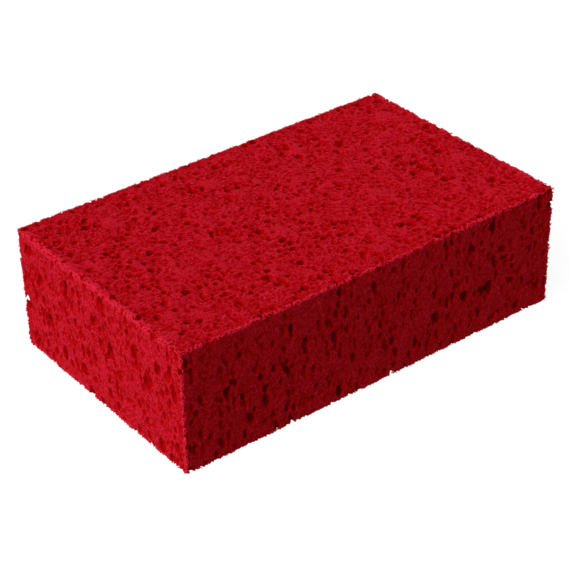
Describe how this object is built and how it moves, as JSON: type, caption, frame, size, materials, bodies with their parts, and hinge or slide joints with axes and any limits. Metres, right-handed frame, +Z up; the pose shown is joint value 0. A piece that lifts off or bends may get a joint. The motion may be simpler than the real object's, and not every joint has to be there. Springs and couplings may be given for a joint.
{
  "type": "grout sponge",
  "caption": "Rectangular block of red open-cell foam with soft edges, held in the hand to wipe and wash grout joints.",
  "frame": {"origin": "middle of the flat bottom face that the block rests on", "axes": "+Z up, out of the top face and along the foam's rise; +X along the length; +Y along the width"},
  "size_m": [0.2, 0.12, 0.059],
  "materials": {
    "foam": "matte"
  },
  "bodies": {
    "root": {"sponge_block": "foam"}
  },
  "joints": []
}
